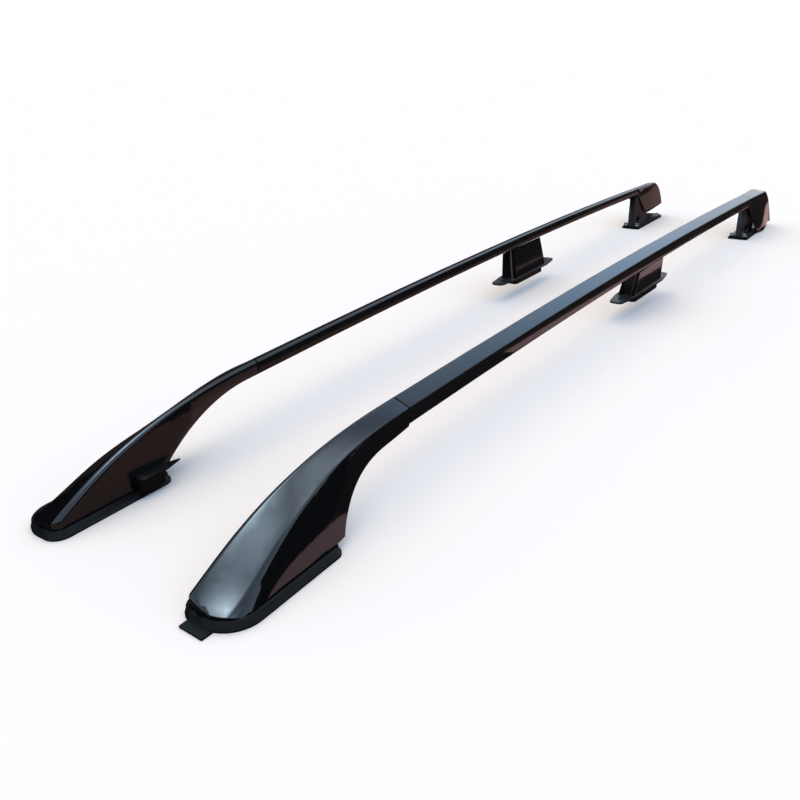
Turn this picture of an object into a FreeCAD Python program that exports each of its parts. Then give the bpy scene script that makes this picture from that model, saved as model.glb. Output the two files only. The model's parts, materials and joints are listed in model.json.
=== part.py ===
"""Pair of car roof rails: bowed bars on front, middle and rear feet.

Each rail is drawn in its own frame: X runs forward along the bar, Y outboard
from the crest line, Z up from the ground that the front and rear feet stand on.
The left rail is drawn and the right rail is its mirror image.
"""
import FreeCAD, Part
import math
import os
import Sketcher
from FreeCAD import Placement, Rotation, Vector

# Driving dimensions in millimetres and degrees
SIZES = (
    # the pair on the ground
    ("half_spacing", 126.6),
    ("toe_angle", 0.9),
    ("frame_shift", 47.84),
    # the bowed bar
    ("bow_radius", 28800.0),
    ("bow_apex", -341.5),
    ("crest_height", 124.3),
    ("front_joint", 676.0),
    ("rear_joint", -880.0),
    ("joint_gap", 0.4),
    ("bar_width", 27.0),
    ("bar_fall", 9.6),
    ("inner_height", 21.0),
    ("outer_height", 25.6),
    ("outer_tuck", 1.5),
    ("bar_wall", 2.5),
    ("crest_round", 4.0),
    ("edge_round", 3.0),
    ("under_round", 2.6),
    # front cover
    ("cover_length", 334.0),
    ("cover_drop", 74.8),
    ("cover_wall", 2.5),
    ("foot_width", 64.5),
    ("foot_inset", 1.0),
    ("foot_taper", 6.0),
    ("foot_length", 158.0),
    ("nose_top_width", 52.0),
    ("nose_top_fall", 20.0),
    ("nose_side", 2.0),
    ("nose_crest_round", 7.0),
    ("nose_edge_round", 14.0),
    ("side_bulge", 3.0),
    ("nose_inner_round", 14.0),
    ("nose_outer_round", 34.0),
    ("nose_brow_round", 16.0),
    ("heel_start", 12.0),
    ("heel_radius", 255.0),
    ("heel_reach_in", 12.0),
    ("heel_reach_out", 72.0),
    ("outer_heel_start", 98.0),
    ("outer_heel_radius", 60.0),
    # front gasket
    ("gasket_floor", 5.0),
    ("gasket_rim", 10.0),
    ("gasket_lip", 4.5),
    ("gasket_flange", 2.0),
    ("flange_height", 3.0),
    ("fit_gap", 0.4),
    ("heel_round", 14.0),
    ("tab_width", 38.0),
    ("tab_length", 11.0),
    ("tab_height", 2.5),
    ("tab_inset", 5.0),
    ("gasket_hole", 12.0),
    # front bracket and the heel clip
    ("plate_height", 4.0),
    ("plate_length", 96.0),
    ("plate_width", 46.0),
    ("plate_setback", 24.0),
    ("plate_offset", 7.0),
    ("plate_round", 8.0),
    ("arm_width", 11.0),
    ("arm_offset", 12.5),
    ("arm_knee", 44.0),
    ("arm_reach", 140.0),
    ("arm_depth", 13.0),
    ("spigot_length", 48.0),
    ("spigot_height", 11.0),
    ("spigot_cover", 9.3),
    ("bolt_spacing", 60.0),
    ("bolt_hole", 9.0),
    ("bolt_shank", 6.0),
    ("bolt_flange", 13.0),
    ("bolt_flange_height", 1.6),
    ("bolt_head", 11.5),
    ("bolt_head_height", 5.0),
    ("clip_length", 38.0),
    ("clip_setback", 10.0),
    ("clip_width", 13.0),
    ("clip_height", 16.0),
    ("clip_round", 5.0),
    ("clip_flange", 2.5),
    ("clip_point", 26.0),
    # middle foot
    ("mid_centre", -160.0),
    ("mid_length", 156.0),
    ("mid_width", 34.0),
    ("mid_offset", 3.0),
    ("mid_top_length", 134.0),
    ("mid_top_width", 24.0),
    ("mid_base", 41.0),
    ("mid_wall", 2.5),
    ("mid_round", 8.0),
    ("mid_plate", 3.5),
    ("mid_plate_width", 40.0),
    ("ear_reach", 52.0),
    ("ear_width", 24.0),
    ("ear_hole", 9.0),
    ("ear_round", 9.0),
    ("pad_height", 12.0),
    ("pad_length", 132.0),
    ("pad_width", 30.0),
    ("post_length", 74.0),
    ("post_width", 13.0),
    ("post_offset", 9.0),
    ("screw_spacing", 44.0),
    ("screw_hole", 6.6),
    ("screw_shank", 6.0),
    ("screw_head", 11.0),
    ("screw_head_height", 6.0),
    ("screw_well", 14.0),
    # rear foot
    ("rear_length", 247.0),
    ("rear_wall", 2.5),
    ("leg_front", 8.0),
    ("leg_rake", 70.0),
    ("leg_corner", 10.0),
    ("leg_flare", 10.0),
    ("leg_inset", 3.0),
    ("leg_clear", 38.0),
    ("skirt_low", 7.0),
    ("tail_round", 146.0),
    ("tail_rake", 34.0),
    ("rear_pad", 5.0),
    ("rear_pad_front", 10.0),
    ("rear_pad_width", 50.0),
    ("rear_pad_offset", 10.0),
    ("rear_pad_tail", 8.0),
    ("rear_pad_round", 6.0),
    ("rear_plate", 4.0),
    ("rear_plate_edge", 3.0),
    ("rear_web", 16.0),
    ("rear_web_width", 16.0),
    ("rear_web_length", 100.0),
    ("rear_web_offset", 11.0),
    ("arch_width", 40.0),
    ("arch_height", 22.0),
    ("rear_spigot", 40.0),
    ("rear_bolt_spacing", 32.0),
    ("rear_bolt_hole", 7.0),
)

# Shares of the front cover's length at which its cross-section is drawn
COVER_STATIONS = (0.0, 0.2, 0.36, 0.54, 0.72, 0.88, 1.01)
# The swoop's fall grows with this power of the distance from the joint
SWOOP_POWER = 2.84
# The top face tilts and widens, and the wall spreads and deepens, between these shares of the cover
TILT_SPAN = (0.1, 0.6)
WIDEN_SPAN = (0.35, 0.98)
SPREAD_SPAN = (0.0, 0.56)
DEEPEN_SPAN = (0.0, 0.2)
# Shares of the rear cover's length at which its cross-section is drawn, and where its leg flares
TAIL_STATIONS = (0.0, 0.2, 0.4, 0.7, 1.05)
FLARE_SPAN = (0.05, 0.4)
# Room that cutting shapes have past the faces they open, and a hair that keeps faces from coinciding
OVERCUT = 60.0
HAIR = 0.2
# Depth below the seat to which the covers' walls are drawn before they are trimmed
SKIRT = 3.0
# Sine and cosine of half a right angle
HALF_RIGHT = math.sqrt(0.5)

doc = FreeCAD.newDocument("roof_rails")
sheet = doc.addObject("Spreadsheet::Sheet", "sizes")
for row, (alias, value) in enumerate(SIZES, start=1):
    sheet.set(f"A{row}", alias)
    sheet.set(f"B{row}", str(value))
    sheet.setAlias(f"B{row}", alias)
doc.recompute()


# Sizes that stay tied to the sheet


class Size:
    """A size as an expression on the sheet, together with its present value."""

    def __init__(self, text, value):
        self.text = text
        self.value = value

    def joined(self, other, sign, result):
        other_text = other.text if isinstance(other, Size) else repr(float(other))
        return Size(f"({self.text} {sign} {other_text})", result)

    def __add__(self, other):
        return self.joined(other, "+", self.value + number(other))

    def __sub__(self, other):
        return self.joined(other, "-", self.value - number(other))

    def __mul__(self, other):
        return self.joined(other, "*", self.value * number(other))

    def __truediv__(self, other):
        return self.joined(other, "/", self.value / number(other))

    def __neg__(self):
        return self * -1.0


def number(amount):
    """The plain value of a size or a number."""
    return amount.value if isinstance(amount, Size) else float(amount)


def size(alias):
    """The named driving dimension."""
    return Size(f"sizes.{alias}", float(sheet.get(alias)))


def root(amount):
    """Square root of a size."""
    return Size(f"sqrt({amount.text})", math.sqrt(amount.value))


def bind(item, prop, amount):
    """Tie a property to its size on the sheet."""
    item.setExpression(prop, amount.text)


def smooth(share, span):
    """Ease from 0 to 1 as the share crosses the span."""
    low, high = span
    part = min(max((share - low) / (high - low), 0.0), 1.0)
    return part * part * (3.0 - 2.0 * part)


def between(start, end, part):
    """Value at a part of the way from start to end."""
    return start + (end - start) * part


# Measures that several pieces share

BOW = size("bow_radius")
APEX = size("bow_apex")
FRONT = size("front_joint")
REAR = size("rear_joint")
NOSE = FRONT + size("joint_gap") + size("cover_length")
UNDER_SLOPE = (size("bar_fall") + size("outer_height") - size("inner_height")) / (
    size("bar_width") - size("outer_tuck")
)
FOOT_OUT = size("foot_width") - size("foot_inset")
HEEL = NOSE - size("foot_length")


def crest_at(along):
    """Height of the bar's crest at a place along the rail."""
    away = along - APEX
    return size("crest_height") - BOW + root(BOW * BOW - away * away)


def bow_tilt(along):
    """Sine of the bar's slope at a place along the rail."""
    return (along - APEX) / BOW


RAIL_PLACE = Placement(
    Vector(number(size("frame_shift")), number(size("half_spacing")), 0),
    Rotation(Vector(0, 0, 1), -number(size("toe_angle"))),
)


# Outlines with rounded corners


def corner_arc(before, corner, after, radius):
    """Tangent points and centre of the arc that rounds one corner of an outline."""
    to_before = (before - corner).normalize()
    to_after = (after - corner).normalize()
    half = to_before.getAngle(to_after) / 2
    reach = radius / math.tan(half)
    start = corner + to_before * reach
    end = corner + to_after * reach
    centre = corner + (to_before + to_after).normalize() * (radius / math.sin(half))
    return start, end, centre


def rounded_wire(points, radii, to_space):
    """Closed wire through flat points with rounded corners, carried into space by to_space."""
    flat = [Vector(x, y, 0) for x, y in points]
    count = len(flat)
    runs = []
    for index, corner in enumerate(flat):
        radius = radii[index]
        if radius:
            after = flat[(index + 1) % count]
            start, end, centre = corner_arc(flat[index - 1], corner, after, radius)
            middle = centre + (corner - centre).normalize() * radius
            runs.append((start, middle, end))
        else:
            runs.append((corner, None, corner))
    edges = []
    for index, (start, middle, end) in enumerate(runs):
        if middle:
            edges.append(Part.Arc(to_space(start), to_space(middle), to_space(end)).toShape())
        following = runs[(index + 1) % count][0]
        edges.append(Part.LineSegment(to_space(end), to_space(following)).toShape())
    return Part.Wire(edges)


def inset(points, distance):
    """Corners of a clockwise outline, moved so that each side shifts inwards by the distance."""
    flat = [Vector(x, y, 0) for x, y in points]
    count = len(flat)
    moved = []
    for index, corner in enumerate(flat):
        along = (corner - flat[index - 1]).normalize()
        onward = (flat[(index + 1) % count] - corner).normalize()
        shift = Vector(along.y, -along.x, 0) * distance
        next_shift = Vector(onward.y, -onward.x, 0) * distance
        slide = (next_shift - shift).cross(onward).z / along.cross(onward).z
        place = corner + shift + along * slide
        moved.append((place.x, place.y))
    return moved


def profile(body, label, role, corners, offset=None, circles=()):
    """Sketch of a closed outline whose corners are held by sizes, with round holes."""
    sketch = body.newObject("Sketcher::SketchObject", label)
    plane = next(item for item in body.Origin.OriginFeatures if item.Role == role)
    sketch.AttachmentSupport = [(plane, "")]
    sketch.MapMode = "FlatFace"
    if offset:
        bind(sketch, "AttachmentOffset.Base.z", offset)
    flat = [Vector(number(x), number(y), 0) for x, y, radius in corners]
    count = len(flat)
    runs = []
    for index, (x, y, radius) in enumerate(corners):
        if radius:
            after = flat[(index + 1) % count]
            runs.append(corner_arc(flat[index - 1], flat[index], after, number(radius)))
        else:
            runs.append((flat[index], flat[index], None))
    lines = []
    for index in range(count):
        start = runs[index][1]
        end = runs[(index + 1) % count][0]
        lines.append(sketch.addGeometry(Part.LineSegment(start, end)))
    for index, (x, y, radius) in enumerate(corners):
        before = lines[index - 1]
        after = lines[index]
        if radius:
            round_corner(sketch, before, after, runs[index], flat[index], (x, y), radius)
        else:
            sketch.addConstraint(Sketcher.Constraint("Coincident", before, 2, after, 1))
            hold(sketch, after, 1, x, y)
    for x, y, diameter in circles:
        centre = Vector(number(x), number(y), 0)
        circle = Part.Circle(centre, Vector(0, 0, 1), number(diameter) / 2)
        hole = sketch.addGeometry(circle)
        hold(sketch, hole, 3, x, y)
        drive(sketch, Sketcher.Constraint("Diameter", hole, number(diameter)), diameter)
    return sketch


def round_corner(sketch, before, after, run, corner, place, radius):
    """Arc tangent to two sides of an outline, whose sharp corner stays at its place."""
    start, end, centre = run
    first = math.atan2(start.y - centre.y, start.x - centre.x)
    last = math.atan2(end.y - centre.y, end.x - centre.x)
    turns_left = (corner - start).cross(end - corner).z > 0
    angles = (first, last) if turns_left else (last, first)
    circle = Part.Circle(centre, Vector(0, 0, 1), number(radius))
    arc = sketch.addGeometry(Part.ArcOfCircle(circle, *angles))
    point = sketch.addGeometry(Part.Point(corner), True)
    enters, leaves = (1, 2) if turns_left else (2, 1)
    sketch.addConstraint(Sketcher.Constraint("Tangent", before, 2, arc, enters))
    sketch.addConstraint(Sketcher.Constraint("Tangent", arc, leaves, after, 1))
    sketch.addConstraint(Sketcher.Constraint("PointOnObject", point, 1, before))
    sketch.addConstraint(Sketcher.Constraint("PointOnObject", point, 1, after))
    hold(sketch, point, 1, *place)
    drive(sketch, Sketcher.Constraint("Radius", arc, number(radius)), radius)


def hold(sketch, item, point, x, y):
    """Hold a point of a sketch at two sizes from the sketch's origin."""
    drive(sketch, Sketcher.Constraint("DistanceX", -1, 1, item, point, number(x)), x)
    drive(sketch, Sketcher.Constraint("DistanceY", -1, 1, item, point, number(y)), y)


def drive(sketch, constraint, amount):
    """Add a constraint whose value comes from the sheet."""
    index = sketch.addConstraint(constraint)
    sketch.setExpression(f"Constraints[{index}]", amount.text)


# Features of the bodies


def new_body(label):
    """Body of one piece of the left rail, in the rail's own frame."""
    body = doc.addObject("PartDesign::Body", label)
    body.Label = label
    body.Placement = RAIL_PLACE
    return body


def pad(body, sketch, length, symmetric=False):
    """Raise a sketch by a length."""
    feature = body.newObject("PartDesign::Pad", sketch.Name + "_pad")
    feature.Profile = sketch
    feature.SideType = "Symmetric" if symmetric else "One side"
    bind(feature, "Length", length)
    sketch.Visibility = False
    doc.recompute()
    return feature


def pocket(body, sketch, length, symmetric=False):
    """Cut a sketch into the body, against the sketch's normal or to both sides."""
    feature = body.newObject("PartDesign::Pocket", sketch.Name + "_pocket")
    feature.Profile = sketch
    feature.SideType = "Symmetric" if symmetric else "One side"
    bind(feature, "Length", length)
    sketch.Visibility = False
    volume = feature.BaseFeature.Shape.Volume
    doc.recompute()
    if feature.Shape.Volume >= volume:
        raise RuntimeError(f"{feature.Name} cuts nothing")
    return feature


def box_corners(low_x, low_y, high_x, high_y, radius=None):
    """Corners of an upright rectangle, rounded alike."""
    return (
        (low_x, low_y, radius),
        (high_x, low_y, radius),
        (high_x, high_y, radius),
        (low_x, high_y, radius),
    )


def centred(middle_x, middle_y, length, width, radius=None):
    """Corners of a rectangle about its middle."""
    half_x = length / 2
    half_y = width / 2
    return box_corners(middle_x - half_x, middle_y - half_y, middle_x + half_x, middle_y + half_y, radius)


def solid_piece(label, shape):
    """Piece of the left rail whose freely curved shape is made from computed sections."""
    piece = doc.addObject("Part::Feature", label)
    piece.Label = label
    piece.Shape = shape
    piece.Placement = RAIL_PLACE
    return piece


# The bowed bar


def bar_section():
    """Corners and radii of the bar's cross-section: inner foot, crest, outer edge and outer foot."""
    outer_x = size("bar_width") - size("outer_tuck")
    outer_y = size("bar_fall") + size("outer_height")
    zero = size("bar_width") * 0.0
    return (
        (zero, -size("inner_height"), size("under_round")),
        (zero, zero, size("crest_round")),
        (size("bar_width"), -size("bar_fall"), size("edge_round")),
        (outer_x, -outer_y, size("under_round")),
    )


def make_bar():
    """Hollow extruded bar, rolled to the roof's bow about one far centre."""
    body = new_body("left_rail_bar")
    outline = [(x, y + BOW, radius) for x, y, radius in bar_section()]
    sketch = profile(body, "bar_outline", "YZ_Plane", outline, APEX)
    bind(sketch, "AttachmentOffset.Base.y", size("crest_height") - BOW)
    outer = rolled(body, sketch, "PartDesign::Revolution", "bar_outer")
    wall = size("bar_wall")
    shift = wall * (UNDER_SLOPE + 1.0)
    top_shift = wall * (size("bar_fall") / size("bar_width") * -1.0 + 1.0)
    inner_under = size("inner_height") * -1.0 + wall
    outer_under = -(size("bar_fall") + size("outer_height")) + shift
    outer_x = size("bar_width") - wall
    hollow = (
        (wall, BOW + inner_under, size("under_round") - wall + 1.0),
        (wall, BOW - wall * 1.4, size("crest_round") - wall),
        (outer_x, BOW - size("bar_fall") - top_shift, size("edge_round") - wall + 1.0),
        (outer_x - size("outer_tuck"), BOW + outer_under, size("under_round") - wall + 1.0),
    )
    core = profile(body, "bar_hollow", "YZ_Plane", hollow, APEX)
    bind(core, "AttachmentOffset.Base.y", size("crest_height") - BOW)
    inner = rolled(body, core, "PartDesign::Groove", "bar_inner")
    if inner.Shape.Volume >= outer.Shape.Volume:
        raise RuntimeError("the bar is not hollow")
    return body


def rolled(body, sketch, kind, name):
    """Sweep a cross-section along the bow, forward to the front joint and back to the rear one."""
    feature = body.newObject(kind, name)
    feature.Profile = sketch
    feature.ReferenceAxis = (sketch, ["H_Axis"])
    feature.Type = "TwoAngles"
    feature.setExpression("Angle", f"asin({bow_tilt(FRONT).text})")
    feature.setExpression("Angle2", f"-asin({bow_tilt(REAR).text})")
    sketch.Visibility = False
    doc.recompute()
    return feature


# The moulded covers


def tilted_cut(points, radii):
    """Side outline run through the rail parallel to the slope of the bar's underside."""
    wire = rounded_wire(points, radii, lambda p: Vector(p.x, 0, p.y))
    return run_across(wire)


def run_across(wire):
    """Carry a side outline across the rail, falling outboard as the bar's underside does."""
    across = Vector(0, 1, -number(UNDER_SLOPE)) * (2 * OVERCUT)
    face = Part.Face(wire)
    face.translate(across * -1.0)
    return face.extrude(across * 2.0)


def upright_prism(points, radii):
    """Plan outline raised through the whole height of the rail."""
    wire = rounded_wire(points, radii, lambda p: Vector(p.x, p.y, -OVERCUT))
    return Part.Face(wire).extrude(Vector(0, 0, 5 * OVERCUT))


def side_prism(points, radii):
    """Side outline run straight across the rail."""
    wire = rounded_wire(points, radii, lambda p: Vector(p.x, -2 * OVERCUT, p.y))
    return Part.Face(wire).extrude(Vector(0, 5 * OVERCUT, 0))


def wall_section(crest, edge, foot, floor, rounds, wall):
    """Corners and radii of a cover's cross-section, inset by a wall: inner foot, crest, edge, side, foot."""
    crest_y, crest_z = crest
    edge_y, edge_z = edge
    foot_y, foot_z = foot
    crest_round, edge_round, bulge = rounds
    run = Vector(foot_y - edge_y, foot_z - edge_z, 0)
    half = run.Length / 2
    out = Vector(-run.y, run.x, 0).normalize() * (bulge * run.Length / OVERCUT)
    side_y = edge_y + run.x / 2 + out.x
    side_z = edge_z + run.y / 2 + out.y
    lean = (foot_y - side_y) / (foot_z - side_z)
    points = (
        (crest_y, floor),
        (crest_y, crest_z),
        (edge_y, edge_z),
        (side_y, side_z),
        (foot_y + lean * (floor - foot_z), floor),
    )
    side_round = half / 2 * (half / out.Length)
    radii = (0.0, crest_round, edge_round, side_round, 0.0)
    if wall:
        points = inset(points, wall)
        radii = [max(radius - wall, HAIR) if radius else 0.0 for radius in radii]
    return points, radii


def bowed_place(along):
    """Carry a flat section to the bar's own cross-section plane at a place along the rail."""
    tilt = math.asin((along - number(APEX)) / number(BOW))
    drop = number(size("crest_height")) - number(BOW)
    crest = number(crest_at(Size("", along)))

    def to_space(point):
        reach = number(BOW) + point.y - crest
        return Vector(number(APEX) + reach * math.sin(tilt), point.x, drop + reach * math.cos(tilt))

    return to_space


def upright_place(along):
    """Carry a flat section to an upright plane across the rail."""
    return lambda point: Vector(along, point.x, point.y)


def swoop_section(share, floor, wall):
    """Cross-section of the front cover at a share of its length."""
    ease = smooth(share, WIDEN_SPAN)
    spread = smooth(share, SPREAD_SPAN)
    length = number(size("cover_length")) * share
    start = number(crest_at(FRONT + size("joint_gap")))
    fall = number(size("cover_drop")) * max(share, 0.0) ** SWOOP_POWER
    taper = number(size("foot_taper")) * (1.0 - share) * number(size("cover_length") / size("foot_length"))
    crest_y = -number(size("foot_inset")) * spread
    crest_z = start - length * number(bow_tilt(FRONT)) - fall
    width = between(number(size("bar_width")), number(size("nose_top_width")), ease)
    tilt = smooth(share, TILT_SPAN)
    lowest = number(size("gasket_rim") + size("nose_side"))
    drop = min(between(number(size("bar_fall")), number(size("nose_top_fall")), tilt), crest_z - lowest)
    tuck = number(size("outer_tuck"))
    straight_foot = number(size("bar_width")) - tuck
    straight_level = start - number(size("bar_fall")) - number(size("outer_height"))
    foot_y = between(straight_foot, number(FOOT_OUT) - taper, spread)
    foot_z = between(straight_level, number(size("gasket_floor")), smooth(share, DEEPEN_SPAN))
    rounds = (
        between(number(size("crest_round")), number(size("nose_crest_round")), ease),
        between(number(size("edge_round")), number(size("nose_edge_round")), ease),
        max(number(size("side_bulge")) * spread, HAIR),
    )
    return wall_section(
        (crest_y, crest_z), (crest_y + width, crest_z - drop), (foot_y, foot_z), floor, rounds, wall
    )


def swoop_loft(floor, wall, first):
    """Smooth skin through the front cover's sections, or the hollow inside its wall."""
    wires = []
    for share in COVER_STATIONS:
        points, radii = swoop_section(share, floor, wall)
        along = number(FRONT) + number(size("joint_gap")) + number(size("cover_length")) * share
        place = bowed_place(along + first) if share == 0.0 else upright_place(along)
        wires.append(rounded_wire(points, radii, place))
    return Part.makeLoft(wires, True, False)


def heel_wire(across, reach, radius, grow):
    """Side outline of the space behind the front foot, in one upright plane along the rail."""
    sine = number(bow_tilt(FRONT))
    cosine = math.sqrt(1.0 - sine * sine)
    line = number(crest_at(FRONT) - size("inner_height")) - across * number(UNDER_SLOPE)
    touch = Vector(number(FRONT) + reach, across, line - reach * sine / cosine)
    centre = touch - Vector(sine, 0, cosine) * radius
    behind = number(FRONT) - OVERCUT
    start = centre + Vector(sine, 0, cosine) * (radius + grow)
    middle = centre + Vector(HALF_RIGHT, 0, HALF_RIGHT) * (radius + grow)
    end = centre + Vector(radius + grow, 0, 0)
    back = start + Vector(-cosine, 0, sine) * ((start.x - behind) / cosine)
    low = -5 * OVERCUT
    edges = [
        Part.LineSegment(back, start).toShape(),
        Part.Arc(start, middle, end).toShape(),
        Part.LineSegment(end, Vector(end.x, across, low)).toShape(),
        Part.LineSegment(Vector(end.x, across, low), Vector(back.x, across, low)).toShape(),
        Part.LineSegment(Vector(back.x, across, low), back).toShape(),
    ]
    return Part.Wire(edges)


def heel_tool(grow):
    """Space under the bar and behind the front foot: a wide roll inside that tightens to the outside."""
    inside = heel_wire(
        -number(size("heel_reach_in")), number(size("heel_start")), number(size("heel_radius")), grow
    )
    outside = heel_wire(
        number(size("heel_reach_out")), number(size("outer_heel_start")), number(size("outer_heel_radius")), grow
    )
    return Part.makeLoft([inside, outside], True, True)


def nose_limits(wall):
    """Plan and brow that round off the front cover's nose, inset by a wall."""
    nose = number(NOSE) - wall
    inner = -number(size("foot_inset")) - HAIR + wall
    outer = number(FOOT_OUT) + HAIR - wall
    behind = number(FRONT) - OVERCUT
    taper = number(size("foot_taper") / size("foot_length")) * (nose - behind)
    plan = upright_prism(
        ((behind, inner), (behind, outer - taper), (nose, outer), (nose, inner)),
        (0.0, 0.0, number(size("nose_outer_round")) - wall, number(size("nose_inner_round")) - wall),
    )
    points, radii = swoop_section(1.0, 0.0, 0.0)
    crest = points[1][1] - wall
    length = number(size("cover_length"))
    slope = number(bow_tilt(FRONT)) + number(size("cover_drop")) * SWOOP_POWER / length
    rise = crest + slope * (nose - behind)
    brow = side_prism(
        ((behind, -OVERCUT), (behind, rise), (nose, crest), (nose, -OVERCUT)),
        (0.0, 0.0, number(size("nose_brow_round")) - wall, 0.0),
    )
    return plan.common(brow)


def make_front_cover():
    """Moulded swoop from the bar down to the broad nose, hollow and open at its foot."""
    floor = number(size("gasket_floor"))
    wall = number(size("cover_wall"))
    below = Part.makeBox(8 * OVERCUT, 4 * OVERCUT, 2 * OVERCUT)
    below.translate(Vector(number(FRONT) - OVERCUT, -2 * OVERCUT, floor - 2 * OVERCUT))
    behind = below.copy()
    behind.translate(Vector(number(HEEL - FRONT) + OVERCUT - 8 * OVERCUT, 0, number(size("gasket_rim")) + HAIR - floor))
    skin = swoop_loft(floor - SKIRT, 0.0, 0.0).common(nose_limits(0.0))
    skin = skin.cut(heel_tool(0.0)).cut(below).cut(behind)
    hollow = swoop_loft(floor - SKIRT - wall, wall, -SKIRT).common(nose_limits(wall))
    hollow = hollow.cut(heel_tool(wall))
    return solid_piece("left_front_cover", skin.cut(hollow).Solids[0])


def tail_section(share, floor, wall):
    """Cross-section of the rear cover at a share of its length."""
    flare = smooth(share, FLARE_SPAN)
    along = REAR - size("joint_gap") - size("rear_length") * share
    crest_z = number(crest_at(along))
    crest_y = -number(size("leg_inset")) * flare
    edge_y = number(size("bar_width"))
    edge_z = crest_z - number(size("bar_fall"))
    foot_z = crest_z - number(size("bar_fall")) - number(size("outer_height"))
    foot_y = between(edge_y - number(size("outer_tuck")), edge_y + number(size("leg_flare")) / 3, flare)
    rounds = (number(size("crest_round")), number(size("edge_round")), HAIR)
    return wall_section((crest_y, crest_z), (edge_y, edge_z), (foot_y, foot_z), floor, rounds, wall)


def tail_loft(floor, wall, first):
    """Skin through the rear cover's sections, or the hollow inside its wall."""
    wires = []
    for share in TAIL_STATIONS:
        points, radii = tail_section(share, floor, wall)
        along = number(REAR) - number(size("joint_gap")) - number(size("rear_length")) * share
        place = bowed_place(along + first) if share == 0.0 else upright_place(along)
        wires.append(rounded_wire(points, radii, place))
    return Part.makeLoft(wires, True, False)


TAIL = REAR - size("joint_gap") - size("rear_length")
LEG = REAR - size("leg_front")


def tail_limit(wall):
    """Side outline whose top rolls down into the raked rear face, inset by a wall."""
    tail = number(TAIL) + wall
    rake = number(size("tail_rake"))
    ahead = number(REAR) + OVERCUT
    top = number(crest_at(TAIL + size("tail_rake"))) + HAIR - wall
    top_ahead = number(crest_at(REAR)) + HAIR - wall
    slope = (top_ahead - top) / (number(REAR) - tail - rake)
    return side_prism(
        (
            (ahead, -OVERCUT),
            (tail - rake * OVERCUT / top, -OVERCUT),
            (tail + rake, top),
            (ahead, top_ahead + slope * OVERCUT),
        ),
        (0.0, 0.0, number(size("tail_round")) - wall, 0.0),
    )


def leg_tool():
    """Space under the bar ahead of the rear leg's raked front edge."""
    ahead = number(REAR) + OVERCUT
    under = number(crest_at(LEG)) - number(size("inner_height"))
    under_ahead = number(crest_at(REAR)) - number(size("inner_height"))
    slope = (under_ahead - under) / number(size("leg_front"))
    low = -2 * OVERCUT
    leg = number(LEG)
    lean = number(size("leg_rake")) / (under - number(size("leg_clear")))
    return tilted_cut(
        (
            (ahead, under_ahead + slope * OVERCUT),
            (leg, under),
            (leg - lean * (under - low), low),
            (ahead, low),
        ),
        (0.0, number(size("leg_corner")), 0.0, 0.0),
    )


def skirt_tool():
    """Space below the rear leg, whose lower edge falls outboard."""
    inner = -number(size("leg_inset"))
    outer = number(size("bar_width") + size("leg_flare"))
    clear = number(size("leg_clear"))
    fall = (clear - number(size("skirt_low"))) / (outer - inner)
    behind = number(TAIL) - OVERCUT
    points = (
        (inner - OVERCUT, clear + fall * OVERCUT),
        (outer + OVERCUT, clear - fall * (outer - inner + OVERCUT)),
        (outer + OVERCUT, -4 * OVERCUT),
        (inner - OVERCUT, -4 * OVERCUT),
    )
    wire = rounded_wire(points, (0.0,) * len(points), upright_place(behind))
    return Part.Face(wire).extrude(Vector(number(REAR) + OVERCUT - behind, 0, 0))


def make_rear_cover():
    """Moulded end cover whose top rolls down into a hollow leg, open to the front and below."""
    wall = number(size("rear_wall"))
    floor = -OVERCUT
    skin = tail_loft(floor, 0.0, 0.0).common(tail_limit(0.0)).cut(leg_tool()).cut(skirt_tool())
    hollow = tail_loft(floor - wall - SKIRT, wall, SKIRT).common(tail_limit(wall))
    return solid_piece("left_rear_cover", skin.cut(hollow).Solids[0])


# The front foot


def foot_outline(lip, heel_radius, nose_growth):
    """Plan of the front foot, grown by a lip: heel inside, nose inside, nose outside, heel outside."""
    inner = -(size("foot_inset") + lip)
    outer = FOOT_OUT + lip
    nose = NOSE + lip
    heel = HEEL - lip
    return (
        (heel, inner, heel_radius),
        (nose, inner, size("nose_inner_round") + nose_growth),
        (nose, outer, size("nose_outer_round") + nose_growth),
        (heel, outer - size("foot_taper"), heel_radius),
    )


def plate_middle():
    """Middle of the front base plate, along and across."""
    along = NOSE - size("plate_setback") - size("plate_length") / 2
    across = size("plate_offset") + size("plate_width") / 2
    return along, across


def bolt_places(middle, across, spacing):
    """Two places in line along the rail, about a middle."""
    return ((middle - spacing / 2, across), (middle + spacing / 2, across))


def make_front_gasket():
    """Rubber seat with a bottom flange and a raised rim round the cover."""
    body = new_body("left_front_gasket")
    lip = size("gasket_lip")
    wide = lip + size("gasket_flange")
    flange = profile(body, "gasket_flange", "XY_Plane", foot_outline(wide, size("heel_round"), wide))
    pad(body, flange, size("flange_height"))
    rim = profile(body, "gasket_rim", "XY_Plane", foot_outline(lip, size("heel_round"), lip))
    pad(body, rim, size("gasket_rim"))
    gap = size("fit_gap")
    seat = profile(body, "gasket_seat", "XY_Plane", foot_outline(gap, None, gap), size("gasket_rim"))
    pocket(body, seat, size("gasket_rim") - size("gasket_floor"))
    middle, across = plate_middle()
    for index, (x, y) in enumerate(bolt_places(middle, across, size("bolt_spacing"))):
        hole = ((x, y, size("gasket_hole")),)
        well = profile(body, f"gasket_hole_{index}", "XY_Plane", (), size("gasket_floor"), hole)
        pocket(body, well, size("gasket_floor"))
    return body


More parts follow.
